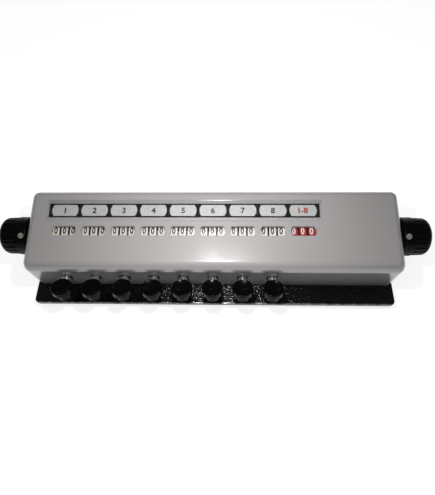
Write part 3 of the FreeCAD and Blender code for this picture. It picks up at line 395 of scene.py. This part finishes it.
# %% Cover enamel
enamel_grey, enamel_dulled = (0.452, 0.430, 0.426), (0.420, 0.398, 0.395)
enamel = Finish("cover_enamel", enamel_grey, 0.42, Coat_Weight=1.0, Coat_Roughness=0.12,
                Coat_IOR=1.65)
enamel.blend_colour(enamel.group("patches", Scale=14.0, Low=0.0, High=0.5), enamel_grey,
                    enamel_dulled)
enamel.vary_gloss(scale=60.0, low=0.36, high=0.48)
enamel.add_grain(scale=700.0, depth=0.012 * mm)

# %% [markdown]
# The base plate has a black wrinkle paint. Its skin dries into hard little ridges that catch the
# lamp one by one, which is why the photograph shows it glittering between the keys. Real ridges
# would need millions of faces, so cells from a Voronoi texture lift the surface as relief, and a
# low roughness makes each ridge glint. A few paler specks are dust.

# %% Base plate paint
paint_black, paint_dust = (0.002, 0.002, 0.0022), (0.02, 0.02, 0.021)
ridge_scale, ridge_depth = 1100.0, 0.27 * mm
wrinkle = Finish("base_wrinkle_paint", paint_black, 0.14, Specular_IOR_Level=0.25,
                 Coat_Roughness=0.3, Coat_IOR=4.0)
ridges = add_node(wrinkle.tree, "ShaderNodeTexVoronoi", feature="SMOOTH_F1")
ridges.inputs["Scale"].default_value = ridge_scale
wrinkle.tree.links.new(wrinkle.place, ridges.inputs["Vector"])
wrinkle.bump(ridges.outputs["Distance"], ridge_depth)
wrinkle.blend_colour(wrinkle.group("specks", Scale=700.0, Radius=0.3, Kept=0.12),
                     paint_black, paint_dust)

# %% [markdown]
# Hands and tables rub the paint along the front edge of the plate. There it is polished in
# patches, and in the photograph the lamp draws a broken bright line on it. A second material on
# those faces would end in a hard border. A clear coat with a weight that exists only on that
# rounded edge has none: limits on Y and Z keep it there, and soft patches break it up.

# %% Rubbed front edge
plate_low, plate_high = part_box("base_plate")
rubbed_width, rubbed_height = 1.0 * mm, 0.6 * mm
place_split = add_node(wrinkle.tree, "ShaderNodeSeparateXYZ")
wrinkle.tree.links.new(wrinkle.place, place_split.inputs[0])
rubbed = wrinkle.group("patches", Scale=220.0, Low=0.2, High=1.0)
for axis, operation, limit in (("Y", "LESS_THAN", plate_low.y + rubbed_width),
                               ("Z", "GREATER_THAN", plate_high.z - rubbed_height)):
    inside = calculated(wrinkle.tree, operation, place_split.outputs[axis], limit)
    rubbed = calculated(wrinkle.tree, "MULTIPLY", rubbed, inside)
wrinkle.link(rubbed, "Coat Weight")
print("rubbed edge: the front", rubbed_width / mm, "mm and the top", rubbed_height / mm, "mm")

# %% [markdown]
# The knobs are moulded in black plastic. In the photograph they are almost pure black, with a few
# faint glints, and a common plastic shader is far too grey for that. So both finishes have a nearly
# black colour and reflect much less than usual. Fingertips keep the small knobs on the keys
# smoother than the fluted ones at the ends, and patches of roughness show the handling.

# %% Black plastics
key_plastic = Finish("key_black_plastic", (0.002, 0.002, 0.0022), 0.2, Specular_IOR_Level=0.06)
key_plastic.vary_gloss(scale=140.0, low=0.15, high=0.28)
key_plastic.add_grain(scale=450.0, depth=0.01 * mm)
knob_plastic = Finish("knob_black_plastic", (0.0015, 0.0015, 0.0016), 0.4,
                      Specular_IOR_Level=0.09)
knob_plastic.vary_gloss(scale=90.0, low=0.3, high=0.5)
knob_plastic.add_grain(scale=900.0, depth=0.015 * mm)

# %% [markdown]
# The metals differ in how they were worked. The stems are chrome plated and polished, the set
# screws nickel plated and the frame inside is zinc plated sheet. The steel shaft and rods and the
# brass bushes were turned, so their scratches run round them. Pictures of scratched metal would
# repeat, so noise makes the scratches: squeezed along X, it becomes lines that run round X.


# %% Metals
def turned_metal(name, colour, roughness, scale):
    """Metal with fine scratches round X and a gloss that drifts about its middle value."""
    finish = Finish(name, colour, roughness, Metallic=1.0)
    finish.add_grain(scale=scale, depth=0.004 * mm,
                     vector=finish.stretched(along=12.0, across=1.0))
    finish.vary_gloss(scale=200.0, low=roughness * 0.8, high=roughness * 1.3)
    return finish


chrome = Finish("stem_chrome", (0.86, 0.86, 0.87), 0.16, Metallic=1.0)
chrome.vary_gloss(scale=300.0, low=0.12, high=0.24)
chrome.add_grain(scale=600.0, depth=0.003 * mm)
nickel = Finish("nickel_plate", (0.72, 0.69, 0.62), 0.22, Metallic=1.0)
nickel.vary_gloss(scale=400.0, low=0.15, high=0.35)
nickel.add_grain(scale=1500.0, depth=0.004 * mm)
zinc = Finish("zinc_plate", (0.55, 0.55, 0.57), 0.35, Metallic=1.0)
zinc.vary_gloss(scale=80.0, low=0.28, high=0.48)
zinc.add_grain(scale=800.0, depth=0.006 * mm)
steel = turned_metal("turned_steel", (0.60, 0.60, 0.61), 0.25, scale=500.0)
brass = turned_metal("turned_brass", (0.74, 0.55, 0.24), 0.28, scale=500.0)
print("metals:", [finish.material.name for finish in (chrome, nickel, zinc, steel, brass)])

# %% [markdown]
# The counting wheels are moulded in plastic, white or red, with a faint satin grain. Their sides
# and one edge of each rim are painted black as shade, standing for the shadow in the gaps between
# the wheels, so that the gaps between the figures read as dark slits. The sides could be faces with
# a material of their own, but the solids come from CAD in one piece, so a mask finds the sides from
# the direction of the surface.


# %% Wheel plastics
def wheel_plastic(name, colour, painted_shade_colour=(0.008, 0.008, 0.008)):
    """Satin plastic whose sides, seen between the wheels, are painted black as shade."""
    finish = Finish(name, colour, 0.4)
    facing = add_node(finish.tree, "ShaderNodeTexCoord").outputs["Normal"]
    # Painted shade: the sides that face along X are coloured black.
    finish.blend_colour(finish.group("sides", vector=facing), colour, painted_shade_colour)
    finish.vary_gloss(scale=120.0, low=0.32, high=0.5)
    finish.add_grain(scale=1200.0, depth=0.006 * mm)
    return finish


wheel_white = wheel_plastic("wheel_white_plastic", (0.80, 0.78, 0.72))
wheel_red = wheel_plastic("wheel_red_plastic", (0.40, 0.020, 0.014))
# Painted shade: a black ring on the right edge of each rim stands for the shadow between the
# wheels.
wheel_gap_shade = Finish("wheel_gap_painted_shade", (0.006, 0.006, 0.006), 0.45)
wheel_gap_shade.vary_gloss(scale=150.0, low=0.38, high=0.55)
wheel_gap_shade.add_grain(scale=1200.0, depth=0.006 * mm)
print("wheel plastics:", [finish.material.name for finish in (wheel_white, wheel_red, wheel_gap_shade)])

# %% [markdown]
# The rubber feet are matt and pick up dust, which is a mask of paler specks. The label is printed:
# a satin black strip with fields of an off-white that is a little uneven, as thin paint is. The
# figures are inks on top, smooth and plain, because at this size only their colour can be seen.

# %% Rubber, print and ink
rubber_black, rubber_dust = (0.018, 0.018, 0.018), (0.12, 0.115, 0.11)
rubber = Finish("foot_rubber", rubber_black, 0.8)
rubber.blend_colour(rubber.group("specks", Scale=900.0, Radius=0.25, Kept=0.2),
                    rubber_black, rubber_dust)
rubber.add_grain(scale=1800.0, depth=0.03 * mm)
print_black = Finish("label_black_print", (0.003, 0.003, 0.003), 0.45, Specular_IOR_Level=0.15)
print_black.vary_gloss(scale=100.0, low=0.4, high=0.55)
full_white, thin_white = (0.62, 0.62, 0.605), (0.55, 0.55, 0.535)
print_white = Finish("label_white_print", (0.60, 0.60, 0.585), 0.45)
print_white.blend_colour(print_white.group("patches", Scale=500.0, Low=0.0, High=1.0),
                         full_white, thin_white)
ink_black = Finish("figure_black_ink", (0.008, 0.008, 0.009), 0.4)
ink_red = Finish("figure_red_ink", (0.42, 0.035, 0.02), 0.4)
ink_white = Finish("figure_white_ink", (0.86, 0.82, 0.78), 0.4)
for ink in (ink_black, ink_red, ink_white):
    ink.vary_gloss(scale=600.0, low=0.3, high=0.5)
print("inks:", [ink.material.name for ink in (ink_black, ink_red, ink_white)])

# %% [markdown]
# The bar over the label is clear acrylic. Real acrylic lets light through to the print below, but
# a renderer finds such light only by luck. So shadow rays, and rays that dull surfaces send out,
# pass straight through the bar here, and every other ray meets real refraction.

# %% Clear acrylic
acrylic = Finish("clear_acrylic", (0.96, 0.97, 0.97), 0.03, Transmission_Weight=1.0, IOR=1.49)
acrylic.add_grain(scale=150.0, depth=0.001 * mm)
passing_colour = (0.94, 0.95, 0.95, 1.0)
passing = add_node(acrylic.tree, "ShaderNodeBsdfTransparent")
passing.inputs["Color"].default_value = passing_colour
either = add_node(acrylic.tree, "ShaderNodeMixShader")
path = add_node(acrylic.tree, "ShaderNodeLightPath").outputs
straight = calculated(acrylic.tree, "MAXIMUM", path["Is Shadow Ray"], path["Is Diffuse Ray"])
acrylic.tree.links.new(straight, either.inputs["Fac"])
acrylic.tree.links.new(acrylic.shader.outputs[0], either.inputs[1])
acrylic.tree.links.new(passing.outputs[0], either.inputs[2])
acrylic_output = acrylic.tree.nodes["Material Output"]
acrylic.tree.links.new(either.outputs[0], acrylic_output.inputs["Surface"])
print("each face of the bar takes", round(100 * (1 - passing_colour[0])), "% of the light")

# %% [markdown]
# Each solid from the CAD frame now gets its finish. They could be set by hand in the Material tab,
# but the record already names a slot for every solid. One table from slots to finishes dresses
# them all, and a slot without an entry would stop the script.

# %% Dress the CAD solids
finish_of_slot = {
    "cover_paint": enamel, "base_paint": wrinkle, "foot_rubber": rubber,
    "label_black": print_black, "guard_clear": acrylic, "frame_steel": zinc,
    "bright_steel": steel, "bush_brass": brass, "knob_black": knob_plastic,
    "key_black": key_plastic, "nickel": nickel, "stem_chrome": chrome,
    "wheel_white": wheel_white, "wheel_red": wheel_red,
}
for name, node in nodes.items():
    for material_slot in node.material_slots:
        material_slot.material = finish_of_slot[slot_of[name]].material
print("dressed", len(nodes), "solids")

# %% [markdown]
# Figures are outlines first. A painted image would be blurred at this size, so they are thin
# solids. Blender's own font gives a digit as a flat curve, which becomes a solid when it is
# extruded. Its points are then plain numbers in numpy, so they can be scaled to the size of the
# real figure and laid on a plane or rolled round a wheel.

# %% Figures as arrays
any_depth = 0.5
bold_offset = 0.03
curve_steps = 4


def figure_block(text, height, squeeze, depth):
    """Points and faces of a bold text as a thin solid that stands on its base.

    The scale is the wanted height divided by the outline's height. The width is squeezed by one
    more factor, and the thickness is scaled to the depth on its own.
    """
    curve = bpy.data.curves.new("figure", "FONT")
    curve.body = text
    curve.extrude = any_depth
    curve.offset = bold_offset
    curve.resolution_u = curve_steps
    holder = bpy.data.objects.new("figure", curve)
    mesh = bpy.data.meshes.new_from_object(holder)
    points = np.empty(len(mesh.vertices) * 3)
    mesh.vertices.foreach_get("co", points)
    points = points.reshape(-1, 3)
    faces = [tuple(face.vertices) for face in mesh.polygons]
    bpy.data.objects.remove(holder)
    bpy.data.curves.remove(curve)
    bpy.data.meshes.remove(mesh)
    low, high = points.min(0), points.max(0)
    scale = height / (high[1] - low[1])
    points = (points - (low + high) / 2) * (scale * squeeze, scale, depth / (high[2] - low[2]))
    points[:, 2] += depth / 2
    return points, faces


def make_piece(name, blocks, finish, body):
    """One mesh from several blocks of points and faces, riding on a CAD body."""
    points, faces, first = [], [], 0
    for block_points, block_faces in blocks:
        points.append(block_points)
        faces += [tuple(index + first for index in face) for face in block_faces]
        first += len(block_points)
    mesh = bpy.data.meshes.new(name)
    mesh.from_pydata(np.concatenate(points).tolist(), [], faces)
    mesh.materials.append(finish.material)
    piece = bpy.data.objects.new(name, mesh)
    bpy.context.scene.collection.objects.link(piece)
    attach(piece, body)
    return piece


# %% [markdown]
# A counting wheel carries the ten figures round its rim, one for every 36 degrees, and the figure
# 0 faces its window in the sloping top. Rolling a figure onto the rim keeps its width and turns its
# height into an angle. The figures are tall and narrow, as on the real wheels, so that three of
# them fit in one window. When a wheel turns forwards by a tenth, the next figure comes up from
# behind. The right edge of each rim is painted black as shade, a closed ring of oblong section that
# stands for the shadow in the slits between the wheels and makes them as broad as in the
# photograph. The figures stand in the middle of the pale rest.

# %% Figures on the wheels
figure_height, figure_squeeze, figure_depth = 5.7 * mm, 0.76, 0.05 * mm
edge_width, edge_depth, edge_steps = 0.9 * mm, 0.03 * mm, 72
top_slope = math.radians(8.76)
low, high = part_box("tens_wheel_1")
wheel_radius = (high.z - low.z) / 2
wheel_axis = (low + high) / 2
wheel_step = wheel_axis.x - sum(corner.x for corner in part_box("hundreds_wheel_1")) / 2
tenth = math.radians(36.0)


def rolled(points, middle_x, angle):
    """Flat points laid on the rim, where x stays and y runs backwards round it from an angle.

    The angle of a point is the given one less its y divided by the wheel's radius. Its distance
    from the axis is that radius plus its height.
    """
    turn = angle - points[:, 1] / wheel_radius
    reach = wheel_radius + points[:, 2]
    return np.column_stack([points[:, 0] + middle_x, wheel_axis.y - reach * np.sin(turn),
                            wheel_axis.z + reach * np.cos(turn)])


def edge_block(left, right):
    """Closed ring round the whole rim: its y, the way round, covers one turn of the wheel."""
    way = np.arange(edge_steps) * 2 * math.pi * wheel_radius / edge_steps
    section = [(left, 0.0), (right, 0.0), (right, edge_depth), (left, edge_depth)]
    points = np.array([(x, y, z) for y in way for x, z in section])
    faces = []
    for step in range(edge_steps):
        here, ahead = 4 * step, 4 * ((step + 1) % edge_steps)
        for corner in range(4):
            after = (corner + 1) % 4
            faces.append((ahead + corner, ahead + after, here + after, here + corner))
    return points, faces


digits = [figure_block(str(digit), figure_height, figure_squeeze, figure_depth)
          for digit in range(10)]
counters = [str(number) for number in range(1, 9)] + ["total"]
for counter in counters:
    low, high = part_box("tens_wheel_" + counter)
    middle = (low.x + high.x) / 2
    ink = ink_white if counter == "total" else ink_black
    for step, place in ((-1, "hundreds"), (0, "tens"), (1, "units")):
        body = "%s_wheel_%s" % (place, counter)
        rim_middle = middle + wheel_step * step - edge_width / 2
        blocks = [(rolled(points, rim_middle, top_slope - tenth * digit), faces)
                  for digit, (points, faces) in enumerate(digits)]
        make_piece("%s_figures_%s" % (place, counter), blocks, ink, body)
        # The black ring is painted shade in the slit beside each wheel.
        rim_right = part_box(body)[1].x
        edge_points, edge_faces = edge_block(rim_right - edge_width, rim_right)
        make_piece("%s_edge_%s" % (place, counter), [(rolled(edge_points, 0.0, 0.0), edge_faces)],
                   wheel_gap_shade, body)
print("figures on", 3 * len(counters), "wheels of radius", round(wheel_radius / mm, 2), "mm")

# %% [markdown]
# The label has a white field above each window with its number, and a red one for the total. A
# field is straight in front and behind and bulges at its ends. It is a thin plate: an outline in
# numpy, lifted by the thickness of the print. The strip lies on the sloping top, so a flat drawing
# is turned by the slope and moved to the strip's middle.

# %% Label fields and numbers
field_width, field_depth, field_bulge, field_steps = 21.6 * mm, 9.4 * mm, 1.7 * mm, 13
print_depth = 0.03 * mm
number_height = 5.0 * mm
strip_low, strip_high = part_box("label_strip")
strip_middle = (strip_low + strip_high) / 2
strip_half_thickness = 0.15 * mm


def laid_on_top(points, middle_x, lift):
    """Flat points turned by the slope and laid on the strip, lifted along its normal."""
    along, up = points[:, 1], points[:, 2] + strip_half_thickness + lift
    sine, cosine = math.sin(top_slope), math.cos(top_slope)
    return np.column_stack([points[:, 0] + middle_x,
                            strip_middle.y + along * cosine - up * sine,
                            strip_middle.z + along * sine + up * cosine])


def field_block():
    """Thin plate with bulging ends.

    Half its width is half the field's, less the bulge times the square of the share of the way
    from its middle to its front or back edge.
    """
    share = np.linspace(-1.0, 1.0, field_steps)
    half_width = field_width / 2 - field_bulge * share ** 2
    right = np.column_stack([half_width, share * field_depth / 2])
    outline = np.concatenate([right, -right])
    count = len(outline)
    points = np.concatenate([np.column_stack([outline, np.zeros(count)]),
                             np.column_stack([outline, np.full(count, print_depth)])])
    ring = np.arange(count)
    after = np.roll(ring, -1)
    sides = np.column_stack([ring, after, after + count, ring + count])
    faces = [tuple(ring[::-1].tolist()), tuple((ring + count).tolist())]
    return points, faces + [tuple(side) for side in sides.tolist()]


field_points, field_faces = field_block()
fields, numbers = [], []
for counter in counters:
    low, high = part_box("tens_wheel_" + counter)
    middle = (low.x + high.x) / 2
    fields.append((laid_on_top(field_points, middle, 0.0), field_faces))
    text = "1-8" if counter == "total" else counter
    points, faces = figure_block(text, number_height, 1.0, print_depth)
    numbers.append((laid_on_top(points, middle, print_depth), faces))
make_piece("label_fields", fields, print_white, "root")
make_piece("label_numbers", numbers[:-1], ink_black, "root")
make_piece("label_total_number", numbers[-1:], ink_red, "root")
print("label fields:", len(fields))

# %% [markdown]
# Last, the box of the finished model is printed in millimetres, because the looks may not change
# the size of the object.

# %% Sizes
low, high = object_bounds()
print("visual box in mm:", [round((b - a) / mm, 1) for a, b in zip(low, high)])
